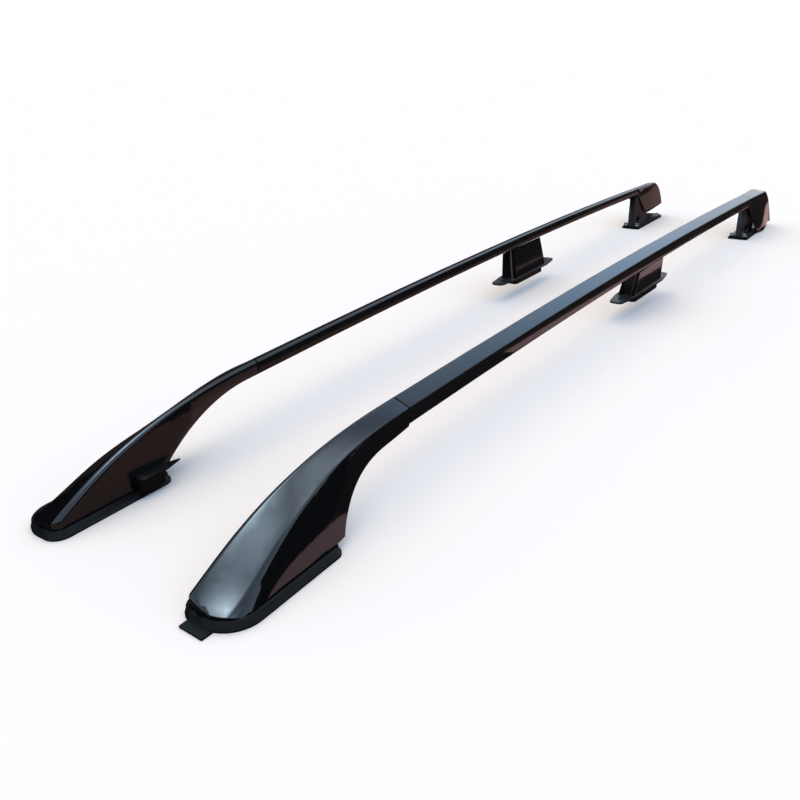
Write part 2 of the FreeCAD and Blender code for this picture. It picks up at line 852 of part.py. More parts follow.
def make_nose_tab():
    """Flat tab that lies on the ground against the front of the left gasket."""
    body = new_body("left_nose_tab")
    wide = size("gasket_lip") + size("gasket_flange")
    low = size("tab_inset")
    end = NOSE + wide + size("tab_length")
    corners = (
        (HEEL, low, None),
        (end, low + size("tab_length") / 2, None),
        (end, low + size("tab_width"), None),
        (HEEL, low + size("tab_width"), None),
    )
    pad(body, profile(body, "tab_outline", "XY_Plane", corners), size("tab_height"))
    outline = foot_outline(wide, size("heel_round"), wide)
    against = profile(body, "tab_rear", "XY_Plane", outline, size("tab_height"))
    pocket(body, against, size("tab_height"))
    return body


def make_front_bracket():
    """Cast base plate whose arm climbs inside the cover and ends in a spigot in the bar."""
    body = new_body("left_front_bracket")
    middle, across = plate_middle()
    holes = [(x, y, size("bolt_hole")) for x, y in bolt_places(middle, across, size("bolt_spacing"))]
    corners = centred(middle, across, size("plate_length"), size("plate_width"), size("plate_round"))
    plate = profile(body, "plate_outline", "XY_Plane", corners, size("gasket_floor"), holes)
    pad(body, plate, size("plate_height"))
    top = crest_at(FRONT) - size("spigot_cover")
    low = top - size("spigot_height")
    tilt = bow_tilt(FRONT)
    back = FRONT - size("spigot_length")
    knee = FRONT + size("arm_knee")
    reach = FRONT + size("arm_reach")
    level = size("gasket_floor") + size("plate_height") / 2
    plate_rear = middle - size("plate_length") / 2
    fall = size("cover_drop") * (size("arm_reach") / size("cover_length")) * (
        size("arm_reach") / size("cover_length")
    )
    arm = (
        (back, low + size("spigot_length") * tilt, None),
        (FRONT, low, None),
        (knee, low - size("arm_knee") * tilt, None),
        (reach, low - fall * 1.1, None),
        (plate_rear, level + size("plate_length") * 0.28, None),
        (plate_rear + 4.0, level, None),
        (middle, level, None),
        (middle - 2.0, level + size("plate_length") * 0.36, None),
        (reach + size("arm_depth"), top - fall * 1.6, None),
        (knee, top - size("arm_knee") * tilt * 2.0, None),
        (FRONT, top, None),
        (back, top + size("spigot_length") * tilt, None),
    )
    side = profile(body, "arm_outline", "XZ_Plane", arm, -size("arm_offset"))
    pad(body, side, size("arm_width"), symmetric=True)
    return body


def make_front_clip():
    """Moulded locating clip that seats on the gasket's rim, inboard of the heel."""
    body = new_body("left_front_clip")
    inner = -(size("foot_inset") + size("fit_gap"))
    start = HEEL + size("clip_setback")
    end = start + size("clip_length")
    outer = inner - size("clip_width")
    block = box_corners(start, outer, end, inner, size("clip_round"))
    pad(body, profile(body, "clip_block", "XY_Plane", block, size("gasket_rim")), size("clip_height"))
    flange = (
        (start - size("clip_point"), inner - size("clip_width") * 0.7, None),
        (start, outer - size("clip_flange"), size("clip_round")),
        (end, outer - size("clip_flange"), size("clip_round")),
        (end, inner, size("clip_round")),
        (start, inner, None),
    )
    level = size("gasket_rim") + size("clip_height")
    pad(body, profile(body, "clip_flange", "XY_Plane", flange, level), size("clip_flange"))
    return body


# Fasteners


def round_bar(name, diameter, length, place, level):
    """Upright cylinder of the left rail."""
    bar = doc.addObject("Part::Cylinder", name)
    bind(bar, "Radius", diameter / 2)
    bind(bar, "Height", length)
    stand(bar, place, level)
    return bar


def stand(item, place, level):
    """Stand an item at its place on the left rail."""
    x, y = place
    spot = Vector(number(x), number(y), number(level))
    item.Placement = RAIL_PLACE.multiply(Placement(spot, Rotation()))


def hex_bolt(name, place, seat, tip):
    """Flanged hexagon bolt whose flange sits at one level and whose shank ends at another."""
    flange = round_bar(name + "_flange", size("bolt_flange"), size("bolt_flange_height"), place, seat)
    shank = round_bar(name + "_shank", size("bolt_shank"), seat - tip, place, tip)
    head = doc.addObject("Part::Prism", name + "_head")
    head.Polygon = 6
    bind(head, "Circumradius", size("bolt_head") / 2)
    bind(head, "Height", size("bolt_head_height"))
    stand(head, place, seat + size("bolt_flange_height"))
    return [shank, flange, head]


def socket_screw(name, place, seat, tip):
    """Cap screw that hangs head down, its head under one level and its shank up to another."""
    head = round_bar(
        name + "_head", size("screw_head"), size("screw_head_height"), place, seat - size("screw_head_height")
    )
    shank = round_bar(name + "_shank", size("screw_shank"), tip - seat, place, seat)
    return [head, shank]


def fused(label, items):
    """Pieces joined where they touch; separate fasteners stay separate solids."""
    group = doc.addObject("Part::MultiFuse", label)
    group.Label = label
    group.Shapes = items
    return group


# The middle foot

MID = size("mid_centre")


def saddle(body, name, depth):
    """Trim a body to the slope of the bar's underside above the middle foot."""
    under = crest_at(MID + size("mid_length") / 2) - size("inner_height") - size("fit_gap")
    wide = size("mid_width")
    rise = under + size("crest_height")
    outline = (
        (-wide, under + wide * UNDER_SLOPE, None),
        (wide * 2.0, under - wide * UNDER_SLOPE * 2.0, None),
        (wide * 2.0, rise, None),
        (-wide, rise, None),
    )
    sketch = profile(body, name, "YZ_Plane", outline, MID)
    pocket(body, sketch, depth, symmetric=True)


def make_mid_cover():
    """Tapered moulded cover between the bar and the middle plate, open above and below."""
    body = new_body("left_mid_cover")
    middle = size("mid_offset")
    base = size("mid_base")
    top = size("crest_height")
    radius = size("mid_round")
    wall = size("mid_wall")
    outer_low = centred(MID, middle, size("mid_length"), size("mid_width"), radius)
    outer_top = centred(MID, size("bar_width") / 2, size("mid_top_length"), size("mid_top_width"), radius)
    low = profile(body, "mid_foot", "XY_Plane", outer_low, base)
    high = profile(body, "mid_head", "XY_Plane", outer_top, top)
    loft = body.newObject("PartDesign::AdditiveLoft", "mid_block")
    loft.Profile = low
    loft.Sections = [high]
    loft.Ruled = True
    doc.recompute()
    inner = wall * 2.0
    inner_low = centred(MID, middle, size("mid_length") - inner, size("mid_width") - inner, radius - wall)
    inner_top = centred(
        MID, size("bar_width") / 2, size("mid_top_length") - inner, size("mid_top_width") - inner, radius - wall
    )
    core_low = profile(body, "mid_hollow_foot", "XY_Plane", inner_low, base)
    core_high = profile(body, "mid_hollow_head", "XY_Plane", inner_top, top)
    hollow = body.newObject("PartDesign::SubtractiveLoft", "mid_hollow")
    hollow.Profile = core_low
    hollow.Sections = [core_high]
    hollow.Ruled = True
    doc.recompute()
    if hollow.Shape.Volume >= loft.Shape.Volume:
        raise RuntimeError("the middle cover is not hollow")
    saddle(body, "mid_cover_saddle", size("mid_length") * 2.0)
    return body


def ear_places():
    """Holes in the ears at the two ends of the middle plate."""
    reach = size("mid_length") / 2 + size("ear_reach") / 2
    across = size("mid_offset")
    return ((MID - reach, across), (MID + reach, across))


def screw_places():
    """Screws through the middle plate into its post."""
    return bolt_places(MID, size("post_offset"), size("screw_spacing"))


def make_mid_bracket():
    """Metal plate with an eared hole at each end and a post up to the bar."""
    body = new_body("left_mid_bracket")
    across = size("mid_offset")
    half = size("mid_length") / 2
    end = half + size("ear_reach")
    wide = size("mid_plate_width") / 2
    ear = size("ear_width") / 2
    radius = size("ear_round")
    outline = (
        (MID - end, across - ear, radius),
        (MID - half, across - wide, radius),
        (MID + half, across - wide, radius),
        (MID + end, across - ear, radius),
        (MID + end, across + ear, radius),
        (MID + half, across + wide, radius),
        (MID - half, across + wide, radius),
        (MID - end, across + ear, radius),
    )
    holes = [(x, y, size("ear_hole")) for x, y in ear_places()]
    level = size("mid_base") - size("mid_plate")
    pad(body, profile(body, "mid_plate", "XY_Plane", outline, level, holes), size("mid_plate"))
    post = centred(MID, size("post_offset"), size("post_length"), size("post_width"))
    pad(body, profile(body, "mid_post", "XY_Plane", post, level), size("crest_height") - level)
    saddle(body, "mid_post_saddle", size("mid_length") * 2.0)
    for index, (x, y) in enumerate(screw_places()):
        hole = ((x, y, size("screw_hole")),)
        top = level + size("post_width") * 2.0
        pocket(body, profile(body, f"mid_screw_hole_{index}", "XY_Plane", (), top, hole), size("post_width") * 2.0)
    return body


def make_mid_pad():
    """Rubber pad under the middle plate, with wells for the screw heads."""
    body = new_body("left_mid_pad")
    wells = [(x, y, size("screw_well")) for x, y in screw_places()]
    corners = centred(MID, size("mid_offset"), size("pad_length"), size("pad_width"), size("ear_round"))
    level = size("mid_base") - size("mid_plate") - size("pad_height")
    pad(body, profile(body, "mid_pad_outline", "XY_Plane", corners, level, wells), size("pad_height"))
    return body


def make_mid_screws():
    """Two screws up through the middle plate into its post."""
    items = []
    seat = size("mid_base") - size("mid_plate")
    for index, place in enumerate(screw_places()):
        items += socket_screw(f"mid_screw_{index}", place, seat, seat + size("post_width") * 2.0 - 1.0)
    return fused("left_mid_screws", items)


# The rear foot


def rear_ends():
    """Front and rear ends of the rear pad along the rail."""
    front = REAR + size("rear_pad_front")
    back = TAIL + size("rear_pad_tail")
    return front, back


def make_rear_gasket():
    """Rubber pad under the rear base, drawn out to a point behind."""
    body = new_body("left_rear_gasket")
    front, back = rear_ends()
    half = size("rear_pad_width") / 2
    across = size("rear_pad_offset")
    radius = size("rear_pad_round")
    outline = (
        (back, across, None),
        (back + half * 1.4, across - half, radius),
        (front, across - half, radius),
        (front, across + half, radius),
        (back + half * 1.4, across + half, radius),
    )
    holes = [(x, y, size("rear_bolt_hole")) for x, y in rear_bolt_places()]
    pad(body, profile(body, "rear_pad_outline", "XY_Plane", outline, None, holes), size("rear_pad"))
    return body


def rear_bolt_places():
    """Two bolts side by side on the shelf ahead of the rear leg."""
    front, back = rear_ends()
    along = front - size("bolt_flange") * 0.7
    across = size("rear_pad_offset")
    return (
        (along, across - size("rear_bolt_spacing") / 2),
        (along, across + size("rear_bolt_spacing") / 2),
    )


def make_rear_bracket():
    """Metal base with an arched web inside the leg and a spigot in the bar."""
    body = new_body("left_rear_bracket")
    front, back = rear_ends()
    edge = size("rear_plate_edge")
    half = size("rear_pad_width") / 2 - edge
    across = size("rear_pad_offset")
    rear = back + size("rear_pad_width") * 0.7
    level = size("rear_pad")
    corners = box_corners(rear, across - half, front - edge, across + half, size("rear_pad_round"))
    holes = [(x, y, size("rear_bolt_hole")) for x, y in rear_bolt_places()]
    pad(body, profile(body, "rear_plate_outline", "XY_Plane", corners, level, holes), size("rear_plate"))
    top = crest_at(REAR) - size("spigot_cover")
    low = top - size("spigot_height")
    seat = level + size("rear_plate") / 2
    web_front = front - edge * 2.0
    web_back = LEG - size("rear_web_length")
    arch_front = web_front - size("rear_web")
    arch_rear = arch_front - size("arch_width")
    arch = level + size("rear_plate") + size("arch_height")
    slant = size("arch_width") * 0.2
    web_outer = size("rear_web_offset") + size("rear_web_width") / 2
    under = crest_at(REAR) - size("inner_height") - web_outer * UNDER_SLOPE - size("fit_gap") * 2.0
    inside = REAR - size("joint_gap") - edge
    head = low + size("spigot_height") / 3
    web = (
        (web_back, seat, None),
        (arch_rear, seat, None),
        (arch_rear + slant, arch, size("leg_corner")),
        (arch_front - slant, arch, size("leg_corner")),
        (arch_front, seat, None),
        (web_front, seat, None),
        (web_front, under, None),
        (inside, under, None),
        (inside, head, None),
        (web_back, head, size("leg_corner")),
    )
    side = profile(body, "rear_web_outline", "XZ_Plane", web, -size("rear_web_offset"))
    pad(body, side, size("rear_web_width"), symmetric=True)
    spigot = REAR + size("rear_spigot")
    tilt = bow_tilt(REAR) * size("rear_spigot")
    root_end = LEG - size("rear_spigot")
    tongue = (
        (root_end, low, None),
        (REAR, low, None),
        (spigot, low - tilt, None),
        (spigot, top - tilt, None),
        (REAR, top, None),
        (root_end, crest_at(root_end) - size("spigot_cover") - size("fit_gap") * 2.0, None),
    )
    end = profile(body, "rear_spigot_outline", "XZ_Plane", tongue, -size("arm_offset"))
    pad(body, end, size("arm_width"), symmetric=True)
    return body


def make_rear_bolts():
    """Two bolts through the shelf of the rear base."""
    items = []
    seat = size("rear_pad") + size("rear_plate")
    for index, place in enumerate(rear_bolt_places()):
        items += hex_bolt(f"rear_bolt_{index}", place, seat, size("fit_gap"))
    return fused("left_rear_bolts", items)


# Both rails

left_pieces = [
    make_bar(),
    make_front_cover(),
    make_front_gasket(),
    make_nose_tab(),
    make_front_bracket(),
    make_front_clip(),
    make_mid_cover(),
    make_mid_bracket(),
    make_mid_pad(),
    make_mid_screws(),
    make_rear_cover(),
    make_rear_bracket(),
    make_rear_gasket(),
    make_rear_bolts(),
]


def mirrored(piece):
    """The same piece of the right rail."""
    twin = doc.addObject("Part::Mirroring", piece.Label.replace("left_", "right_"))
    twin.Label = piece.Label.replace("left_", "right_")
    twin.Source = piece
    twin.Normal = Vector(0, 1, 0)
    return twin


pieces = left_pieces + [mirrored(piece) for piece in left_pieces if piece.Label != "left_nose_tab"]
doc.recompute()

for item in doc.Objects:
    if "Invalid" in item.State or "Error" in item.State:
        raise RuntimeError(f"{item.Label} failed: {item.State}")
for piece in pieces:
    if piece.Shape.isNull() or not piece.Shape.isValid():
        raise RuntimeError(f"{piece.Label} has no valid shape")

os.makedirs("parts", exist_ok=True)
for piece in pieces:
    piece.Shape.exportStep(os.path.join("parts", piece.Label + ".step"))
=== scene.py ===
"""Looks of a pair of car roof rails: gloss black bars and covers on rubber seats, in a pale studio."""
import json
import math

import bmesh
import bpy
from mathutils import Matrix, Vector


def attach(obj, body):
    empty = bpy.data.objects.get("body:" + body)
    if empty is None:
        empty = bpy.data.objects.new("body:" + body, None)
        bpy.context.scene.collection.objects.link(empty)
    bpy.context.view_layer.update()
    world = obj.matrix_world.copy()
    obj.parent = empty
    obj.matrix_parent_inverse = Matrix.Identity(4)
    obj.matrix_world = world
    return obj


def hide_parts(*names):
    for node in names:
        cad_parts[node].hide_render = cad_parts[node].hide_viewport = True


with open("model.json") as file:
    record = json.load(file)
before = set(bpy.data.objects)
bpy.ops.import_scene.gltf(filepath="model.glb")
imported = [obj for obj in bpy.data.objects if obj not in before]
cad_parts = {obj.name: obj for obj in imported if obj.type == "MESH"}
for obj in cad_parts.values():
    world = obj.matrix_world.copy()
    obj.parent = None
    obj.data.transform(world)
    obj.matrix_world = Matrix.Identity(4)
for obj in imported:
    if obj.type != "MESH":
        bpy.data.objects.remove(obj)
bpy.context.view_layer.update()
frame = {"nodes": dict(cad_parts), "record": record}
scene = bpy.context.scene
scene.view_settings.view_transform = "Standard"

MM = 0.001

# Layout of the rails, as in the CAD model, with lengths in mm
TOE_ANGLE = math.radians(0.9)
FRAME_SHIFT = 47.84
HALF_SPACING = 126.6
FRONT_JOINT = 676.0
REAR_JOINT = -880.0

# Painted shade in the seams between bar and covers, in mm: full up to the first distance, gone from the
# second
SEAM_SHADE_FULL = 0.8
SEAM_SHADE_GONE = 1.5

# Points this close are one, and edges that turn more than this stay crisp
MERGE_DISTANCE = 0.002 * MM
CRISP_EDGE = math.radians(28)

# Heads of the fasteners in mm, from the seat to the far end, and the seed of their turns
BOLT_HEAD_HEIGHT = 6.6
SCREW_HEAD_HEIGHT = 6.0
TURN_SEED = 7


def paint(hex_code):
    """Linear colour of an sRGB hex value."""
    channels = [int(hex_code[i : i + 2], 16) / 255 for i in (1, 3, 5)]
    linear = [c / 12.92 if c <= 0.04045 else ((c + 0.055) / 1.055) ** 2.4 for c in channels]
    return (*linear, 1.0)


def add(tree, kind, settings=None, links=None):
    """A node with its settings (attributes, or input numbers and names) and its incoming links."""
    node = tree.nodes.new(kind)
    for name, value in (settings or {}).items():
        if isinstance(name, int) or name in node.inputs:
            node.inputs[name].default_value = value
        else:
            setattr(node, name, value)
    for name, socket in (links or {}).items():
        tree.links.new(socket, node.inputs[name])
    return node


def bare_material(name):
    """A material without nodes; returns it with its tree."""
    material = bpy.data.materials.new(name)
    material.use_nodes = True
    material.node_tree.nodes.clear()
    return material, material.node_tree


def finish_of(name, settings):
    """A material with one Principled shader; returns it with its tree and shader."""
    material, tree = bare_material(name)
    shader = add(tree, "ShaderNodeBsdfPrincipled", settings)
    add(tree, "ShaderNodeOutputMaterial", None, {"Surface": shader.outputs["BSDF"]})
    return material, tree, shader


def per_metre(size_mm):
    """Pattern scale that makes one feature about this many millimetres wide."""
    return 1.0 / (size_mm * MM)


def outside_seam_shade(tree, where):
    """Mask of the painted seam shade: 1 on the open surface and 0 in the two seams between a bar and its
    end covers.
    """
    place = add(tree, "ShaderNodeSeparateXYZ", None, {"Vector": where.outputs["Object"]})
    side = add(tree, "ShaderNodeMath", {"operation": "ABSOLUTE"}, {0: place.outputs["Y"]})
    swing = add(
        tree,
        "ShaderNodeMath",
        {"operation": "MULTIPLY", 1: -math.sin(TOE_ANGLE)},
        {0: side.outputs["Value"]},
    )
    along = add(
        tree,
        "ShaderNodeMath",
        {"operation": "MULTIPLY_ADD", 1: math.cos(TOE_ANGLE)},
        {0: place.outputs["X"], 2: swing.outputs["Value"]},
    )
    start = FRAME_SHIFT * math.cos(TOE_ANGLE) - HALF_SPACING * math.sin(TOE_ANGLE)
    clear = []
    for joint in (FRONT_JOINT, REAR_JOINT):
        offset = add(
            tree,
            "ShaderNodeMath",
            {"operation": "SUBTRACT", 1: (start + joint) * MM},
            {0: along.outputs["Value"]},
        )
        distance = add(tree, "ShaderNodeMath", {"operation": "ABSOLUTE"}, {0: offset.outputs["Value"]})
        fade = add(
            tree,
            "ShaderNodeMapRange",
            {"From Min": SEAM_SHADE_FULL * MM, "From Max": SEAM_SHADE_GONE * MM},
            {"Value": distance.outputs["Value"]},
        )
        clear.append(fade.outputs["Result"])
    both = add(tree, "ShaderNodeMath", {"operation": "MULTIPLY"}, {0: clear[0], 1: clear[1]})
    return both.outputs["Value"]


def paint_seam_shade(tree, where, shader):
    """Paints shade into the seams by taking the gloss off a surface there, where the gap between the parts
    would lie in shadow.
    """
    clear = outside_seam_shade(tree, where)
    for name, level in (("Specular IOR Level", 0.5), ("Coat Weight", 0.35)):
        share = add(tree, "ShaderNodeMath", {"operation": "MULTIPLY", 1: level}, {0: clear})
        tree.links.new(share.outputs["Value"], shader.inputs[name])


# Materials


def gloss_coat():
    """Gloss black stove enamel on extruded aluminium: deep, clear reflections with a faint orange peel."""
    material, tree, shader = finish_of(
        "gloss_black_enamel_on_aluminium",
        {
            "Base Color": paint("#0B0C0E"),
            "IOR": 1.5,
            "Coat Roughness": 0.02,
        },
    )
    where = add(tree, "ShaderNodeTexCoord")
    # Painted shade in the seams where the bar meets its covers
    paint_seam_shade(tree, where, shader)
    # Orange peel of sprayed enamel, waves about 3 mm wide
    peel = add(
        tree,
        "ShaderNodeTexNoise",
        {"Scale": per_metre(3.0), "Detail": 1.0, "Roughness": 0.4},
        {"Vector": where.outputs["Object"]},
    )
    bump = add(
        tree,
        "ShaderNodeBump",
        {"Strength": 0.02, "Distance": 0.2 * MM},
        {"Height": peel.outputs["Fac"]},
    )
    tree.links.new(bump.outputs["Normal"], shader.inputs["Normal"])
    # Handling haze: broad patches, some 60 mm wide, a little duller than the rest
    haze = add(
        tree,
        "ShaderNodeTexNoise",
        {"Scale": per_metre(60.0), "Detail": 4.0},
        {"Vector": where.outputs["Object"]},
    )
    dull = add(
        tree,
        "ShaderNodeMapRange",
        {"From Min": 0.35, "From Max": 0.75, "To Min": 0.05, "To Max": 0.12},
        {"Value": haze.outputs["Fac"]},
    )
    tree.links.new(dull.outputs["Result"], shader.inputs["Roughness"])
    return material


def gloss_plastic():
    """High-gloss black ABS from a polished mould: mirror-like, with very soft waves where it shrank."""
    material, tree, shader = finish_of(
        "gloss_black_abs_moulded",
        {
            "Base Color": paint("#0A0B0D"),
            "IOR": 1.53,
            "Coat Roughness": 0.02,
        },
    )
    where = add(tree, "ShaderNodeTexCoord")
    # Painted shade in the seams where the covers meet the bar
    paint_seam_shade(tree, where, shader)
    # Shrinkage waves, about 25 mm wide and too shallow to feel
    wave = add(
        tree,
        "ShaderNodeTexNoise",
        {"Scale": per_metre(25.0), "Detail": 0.0},
        {"Vector": where.outputs["Object"]},
    )
    bump = add(
        tree,
        "ShaderNodeBump",
        {"Strength": 0.015, "Distance": 0.4 * MM},
        {"Height": wave.outputs["Fac"]},
    )
    tree.links.new(bump.outputs["Normal"], shader.inputs["Normal"])
    # Handling haze in patches some 40 mm wide
    haze = add(
        tree,
        "ShaderNodeTexNoise",
        {"Scale": per_metre(40.0), "Detail": 4.0},
        {"Vector": where.outputs["Object"]},
    )
    dull = add(
        tree,
        "ShaderNodeMapRange",
        {"From Min": 0.35, "From Max": 0.75, "To Min": 0.06, "To Max": 0.1},
        {"Value": haze.outputs["Fac"]},
    )
    tree.links.new(dull.outputs["Result"], shader.inputs["Roughness"])
    return material


def seat_rubber():
    """Moulded EPDM rubber: matt black with a fine grain and a slightly paler bloom in patches."""
    material, tree, shader = finish_of(
        "matt_black_epdm_moulded",
        {"Roughness": 0.4, "Specular IOR Level": 0.16},
    )
    where = add(tree, "ShaderNodeTexCoord")
    # Bloom patches about 18 mm wide
    bloom = add(
        tree,
        "ShaderNodeTexNoise",
        {"Scale": per_metre(18.0), "Detail": 5.0, "Roughness": 0.6},
        {"Vector": where.outputs["Object"]},
    )
    tone = add(tree, "ShaderNodeValToRGB", None, {"Fac": bloom.outputs["Fac"]})
    tone.color_ramp.elements[0].position = 0.35
    tone.color_ramp.elements[0].color = paint("#08080A")
    tone.color_ramp.elements[1].position = 0.75
    tone.color_ramp.elements[1].color = paint("#121213")
    tree.links.new(tone.outputs["Color"], shader.inputs["Base Color"])
    # Mould grain, drawn at 1.2 mm so that it shows
    grain = add(
        tree,
        "ShaderNodeTexNoise",
        {"Scale": per_metre(1.2), "Detail": 2.0},
        {"Vector": where.outputs["Object"]},
    )
    bump = add(
        tree,
        "ShaderNodeBump",
        {"Strength": 0.25, "Distance": 0.15 * MM},
        {"Height": grain.outputs["Fac"]},
    )
    tree.links.new(bump.outputs["Normal"], shader.inputs["Normal"])
    return material


def grained_plastic():
    """Grained black polypropylene: satin, with a leathery mould texture."""
    material, tree, shader = finish_of(
        "satin_black_polypropylene_grained",
        {"Base Color": paint("#0B0B0C"), "Roughness": 0.42, "Specular IOR Level": 0.2},
    )
    where = add(tree, "ShaderNodeTexCoord")
    # Leather grain with cells of 1 mm
    grain = add(
        tree,
        "ShaderNodeTexVoronoi",
        {"Scale": per_metre(1.0)},
        {"Vector": where.outputs["Object"]},
    )
    bump = add(
        tree,
        "ShaderNodeBump",
        {"Strength": 0.2, "Distance": 0.1 * MM},
        {"Height": grain.outputs["Distance"]},
    )
    tree.links.new(bump.outputs["Normal"], shader.inputs["Normal"])
    return material


def coated_casting():
    """Cast aluminium under black electrocoat: satin, slightly pebbled by the sand-smooth casting skin."""
    material, tree, shader = finish_of(
        "black_electrocoat_on_casting",
        {"Base Color": paint("#111112"), "Specular IOR Level": 0.4},
    )
    where = add(tree, "ShaderNodeTexCoord")
    # Pebbles of the casting skin, drawn at 1.5 mm so that they show
    skin = add(
        tree,
        "ShaderNodeTexNoise",
        {"Scale": per_metre(1.5), "Detail": 3.0},
        {"Vector": where.outputs["Object"]},
    )
    bump = add(
        tree,
        "ShaderNodeBump",
        {"Strength": 0.3, "Distance": 0.15 * MM},
        {"Height": skin.outputs["Fac"]},
    )
    tree.links.new(bump.outputs["Normal"], shader.inputs["Normal"])
    patch = add(
        tree,
        "ShaderNodeMapRange",
        {"From Min": 0.3, "From Max": 0.7, "To Min": 0.32, "To Max": 0.5},
        {"Value": skin.outputs["Fac"]},
    )
    tree.links.new(patch.outputs["Result"], shader.inputs["Roughness"])
    return material


def plate_steel():
    """Pressed steel plate under black electrocoat: satin, with faint drawing lines along its length."""
    material, tree, shader = finish_of(
        "black_electrocoat_on_steel",
        {"Roughness": 0.38, "Specular IOR Level": 0.4},
    )
    where = add(tree, "ShaderNodeTexCoord")
    # Drawing lines 1 mm wide and 25 times as long
    stretch = add(
        tree,
        "ShaderNodeMapping",
        {"Scale": (1 / 25, 1.0, 1.0)},
        {"Vector": where.outputs["Object"]},
    )
    lines = add(
        tree,
        "ShaderNodeTexNoise",
        {"Scale": per_metre(1.0), "Detail": 3.0},
        {"Vector": stretch.outputs["Vector"]},
    )
    tone = add(tree, "ShaderNodeValToRGB", None, {"Fac": lines.outputs["Fac"]})
    tone.color_ramp.elements[0].position = 0.3
    tone.color_ramp.elements[0].color = paint("#121213")
    tone.color_ramp.elements[1].position = 0.7
    tone.color_ramp.elements[1].color = paint("#1C1C1E")
    tree.links.new(tone.outputs["Color"], shader.inputs["Base Color"])
    return material


def zinc_steel():
    """Zinc-plated steel fasteners: bright grey metal with a mottled, slightly cloudy plate."""
    material, tree, shader = finish_of("zinc_plate_on_steel", {"Metallic": 1.0})
    where = add(tree, "ShaderNodeTexCoord")
    # Clouds in the plate about 4 mm wide
    cloud = add(
        tree,
        "ShaderNodeTexNoise",
        {"Scale": per_metre(4.0), "Detail": 4.0},
        {"Vector": where.outputs["Object"]},
    )
    tone = add(tree, "ShaderNodeValToRGB", None, {"Fac": cloud.outputs["Fac"]})
    tone.color_ramp.elements[0].color = paint("#A9ABAD")
    tone.color_ramp.elements[1].color = paint("#D2D3D1")
    tree.links.new(tone.outputs["Color"], shader.inputs["Base Color"])
    rough = add(
        tree,
        "ShaderNodeMapRange",
        {"To Min": 0.22, "To Max": 0.42},
        {"Value": cloud.outputs["Fac"]},
    )
    tree.links.new(rough.outputs["Result"], shader.inputs["Roughness"])
    return material


FINISHES = {
    "bar_paint": gloss_coat(),
    "cover_gloss": gloss_plastic(),
    "gasket_rubber": seat_rubber(),
    "clip_plastic": grained_plastic(),
    "cast_metal": coated_casting(),
    "plate_steel": plate_steel(),
    "fastener_steel": zinc_steel(),
}


# Pieces


def merged_copy(node):
    """Working copy of a CAD node's mesh with its loose triangles joined."""
    work = bmesh.new()
    work.from_mesh(frame["nodes"][node].data)
    bmesh.ops.remove_doubles(work, verts=work.verts, dist=MERGE_DISTANCE)
    return work


def shade(mesh):
    """Smooth shading with crisp edges."""
    mesh.shade_smooth()
    mesh.set_sharp_from_angle(angle=CRISP_EDGE)


def smooth_piece(node, finish):
    """Copy of a CAD node in its finish, with its curved faces shaded smooth."""
    mesh = bpy.data.meshes.new(node + "_skin")
    work = merged_copy(node)
    work.to_mesh(mesh)
    work.free()
    shade(mesh)
    mesh.materials.append(finish)
    piece = bpy.data.objects.new(node + "_skin", mesh)
    scene.collection.objects.link(piece)
    return piece


def solid_boxes(node):
    """Low and high corner of each separate solid of a CAD node."""
    work = merged_copy(node)
    waiting = set(work.verts)
    boxes = []
    while waiting:
        island = [waiting.pop()]
        for vert in island:
            fresh = {edge.other_vert(vert) for edge in vert.link_edges} & waiting
            waiting -= fresh
            island.extend(fresh)
        low = [min(vert.co[axis] for vert in island) for axis in range(3)]
        high = [max(vert.co[axis] for vert in island) for axis in range(3)]
        boxes.append((low, high))
    work.free()
    return sorted(boxes)


def hexagon(corner):
    """Outline of a hexagon with this corner radius, as the radius at an angle."""
    return lambda angle: corner * math.cos(math.pi / 6) / math.cos(angle % (math.pi / 3) - math.pi / 6)


def circle(radius):
    """Outline of a circle, as the radius at an angle."""
    return lambda angle: radius


def flange_bolt(length):
    """Heights and outlines in mm, from the tip of the shank to the dish in a hexagon flange bolt's head."""
    shank, tip, point = circle(3.0), circle(2.4), 0.6
    rim, rim_height, flange_height = circle(6.4), 0.7, 1.6
    corner, crown, chamfer = 5.7, circle(4.8), 0.5
    dish_rim, dish_floor, dish_depth = circle(3.8), circle(3.5), 0.3
    return (
        (-length, tip),
        (point - length, shank),
        (0.0, shank),
        (0.0, rim),
        (rim_height, rim),
        (flange_height, circle(corner)),
        (flange_height, hexagon(corner)),
        (BOLT_HEAD_HEIGHT - chamfer, hexagon(corner)),
        (BOLT_HEAD_HEIGHT, crown),
        (BOLT_HEAD_HEIGHT, dish_rim),
        (BOLT_HEAD_HEIGHT - dish_depth, dish_floor),
    )


def cap_screw(length):
    """Heights and outlines in mm, from the socket of a cap screw, head down, to the tip of its shank."""
    shank, tip, point = circle(2.95), circle(2.4), 0.6
    socket, socket_depth, socket_rim, rim_depth = hexagon(2.85), 3.0, circle(3.1), 0.2
    head, face, face_chamfer = circle(5.45), circle(5.0), 0.5
    shoulder, shoulder_chamfer = circle(5.2), 0.3
    return (
        (socket_depth - SCREW_HEAD_HEIGHT, socket),
        (rim_depth - SCREW_HEAD_HEIGHT, socket),
        (-SCREW_HEAD_HEIGHT, socket_rim),
        (-SCREW_HEAD_HEIGHT, face),
        (face_chamfer - SCREW_HEAD_HEIGHT, head),
        (-shoulder_chamfer, head),
        (0.0, shoulder),
        (0.0, shank),
        (length - point, shank),
        (length, tip),
    )


